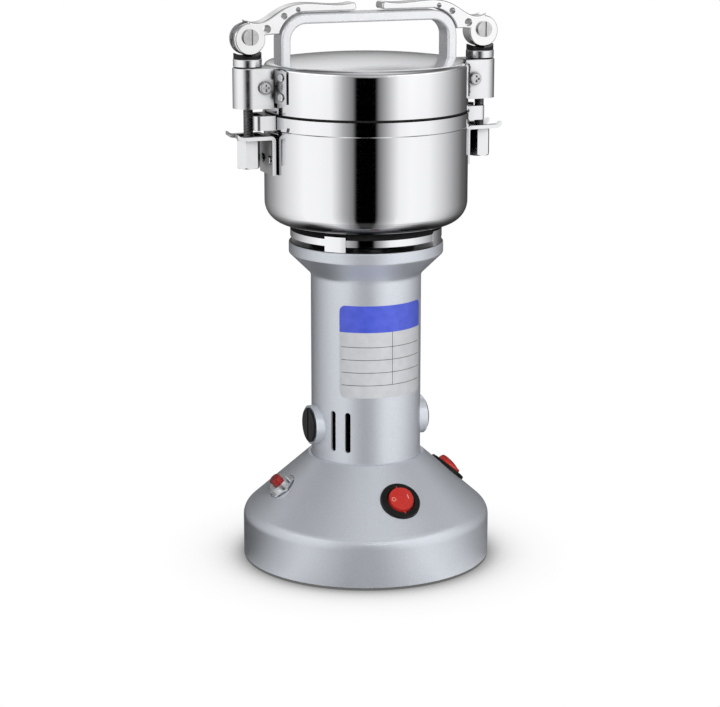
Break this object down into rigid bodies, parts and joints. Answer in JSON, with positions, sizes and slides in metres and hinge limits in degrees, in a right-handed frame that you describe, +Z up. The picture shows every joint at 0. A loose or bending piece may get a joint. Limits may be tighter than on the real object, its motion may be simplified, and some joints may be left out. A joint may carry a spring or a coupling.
{
  "type": "electric grinder",
  "caption": "Upright high-speed grain and spice grinder: round base, motor column, steel bowl, domed lid with a strap handle, cam-lever clamps and rocker switches.",
  "frame": {"origin": "middle of the footprint, on the surface the feet rest on", "axes": "+Z up along the motor shaft, the front with the main switch faces -Y, the lid clamps stand on +X and -X"},
  "size_m": [0.1514, 0.136, 0.3047],
  "materials": {
    "silver_paint": "satin metallic",
    "polished_steel": "polished",
    "bright_steel": "bright",
    "satin_metal": "satin",
    "chrome": "polished",
    "zinc_steel": "satin",
    "dark_steel": "threaded, dark",
    "blade_steel": "ground",
    "lamination": "laminated",
    "copper": "enamelled",
    "brass": "plain",
    "carbon": "matt",
    "fan_plastic": "matt",
    "black_plastic": "satin",
    "red_plastic": "gloss",
    "dark_red_plastic": "gloss",
    "rubber": "matt"
  },
  "bodies": {
    "body": {"base_shell": "silver_paint", "base_plate": "zinc_steel", "rubber_feet": "rubber", "base_plate_screws": "zinc_steel", "cord_gland": "black_plastic", "motor_housing": "silver_paint", "column_screws": "zinc_steel", "lower_bracket": "zinc_steel", "ball_bearings": "zinc_steel", "stator_core": "lamination", "field_coils": "copper", "brush_holders": "brass", "carbon_brushes": "carbon", "brush_caps": "black_plastic", "top_plate": "polished_steel", "bowl_cushion": "rubber", "bowl": "polished_steel", "bowl_screws": "zinc_steel", "shaft_seal": "rubber", "catch_left": "bright_steel", "catch_right": "bright_steel", "rim_guide_left": "bright_steel", "rim_guide_right": "bright_steel", "catch_rivets": "bright_steel", "main_switch": "black_plastic", "side_switch": "black_plastic", "breaker_body": "chrome", "breaker_nut": "chrome"},
    "rotor": {"motor_shaft": "zinc_steel", "armature_core": "lamination", "armature_windings": "copper", "commutator": "copper", "cooling_fan": "fan_plastic", "lower_blade": "blade_steel", "middle_blade": "blade_steel", "upper_blade": "blade_steel", "blade_spacers": "blade_steel", "blade_nut": "blade_steel"},
    "lid": {"lid_shell": "polished_steel", "lid_gasket": "rubber", "handle": "satin_metal", "handle_screws": "zinc_steel", "lid_lugs": "bright_steel", "lug_rivets": "bright_steel", "bracket_screws": "zinc_steel", "thrust_washers": "bright_steel", "cam_saddles": "black_plastic", "clamp_bracket_left": "bright_steel", "clamp_bracket_right": "bright_steel"},
    "left_rod": {"draw_rod_left": "dark_steel", "adjusting_nut_left": "bright_steel"},
    "right_rod": {"draw_rod_right": "dark_steel", "adjusting_nut_right": "bright_steel"},
    "left_lever": {"lever_left": "chrome", "lever_pin_left": "zinc_steel"},
    "right_lever": {"lever_right": "chrome", "lever_pin_right": "zinc_steel"},
    "main_rocker": {"main_rocker": "red_plastic"},
    "side_rocker": {"side_rocker": "red_plastic"},
    "breaker_button": {"breaker_button": "dark_red_plastic"}
  },
  "joints": [
    {"name": "rotor_spin", "type": "hinge", "parent": "body", "child": "rotor", "pos_m": [0, 0, 0.1], "axis": [0, 0, 1], "continuous": true},
    {"name": "lid_lift", "type": "slide", "parent": "body", "child": "lid", "axis": [0, 0, 1], "range_m": [0, 0.1]},
    {"name": "draw_rod_left", "type": "slide", "parent": "lid", "child": "left_rod", "axis": [0, 0, 1], "range_m": [-0.0016, 0]},
    {"name": "draw_rod_right", "type": "slide", "parent": "lid", "child": "right_rod", "axis": [0, 0, 1], "range_m": [-0.0016, 0]},
    {"name": "lever_left", "type": "hinge", "parent": "left_rod", "child": "left_lever", "pos_m": [-0.0665, 0, 0.288], "axis": [0, -1, 0], "range_deg": [0, 150]},
    {"name": "lever_right", "type": "hinge", "parent": "right_rod", "child": "right_lever", "pos_m": [0.0665, 0, 0.288], "axis": [0, 1, 0], "range_deg": [0, 150]},
    {"name": "main_rocker_tilt", "type": "hinge", "parent": "body", "child": "main_rocker", "pos_m": [0, -0.04957, 0.04292], "axis": [0, 0.7474, 0.6644], "range_deg": [0, 20]},
    {"name": "side_rocker_tilt", "type": "hinge", "parent": "body", "child": "side_rocker", "pos_m": [0.04957, 0, 0.04292], "axis": [-0.7474, 0, 0.6644], "range_deg": [0, 20]},
    {"name": "breaker_press", "type": "slide", "parent": "body", "child": "breaker_button", "axis": [0.6644, 0, -0.7474], "range_m": [0, 0.003], "stiffness_N_per_m": 300}
  ],
  "couplings": [
    {"joint": "lever_left", "follows": "draw_rod_left", "rad_per_m": -1636.2},
    {"joint": "lever_right", "follows": "draw_rod_right", "rad_per_m": -1636.2}
  ]
}
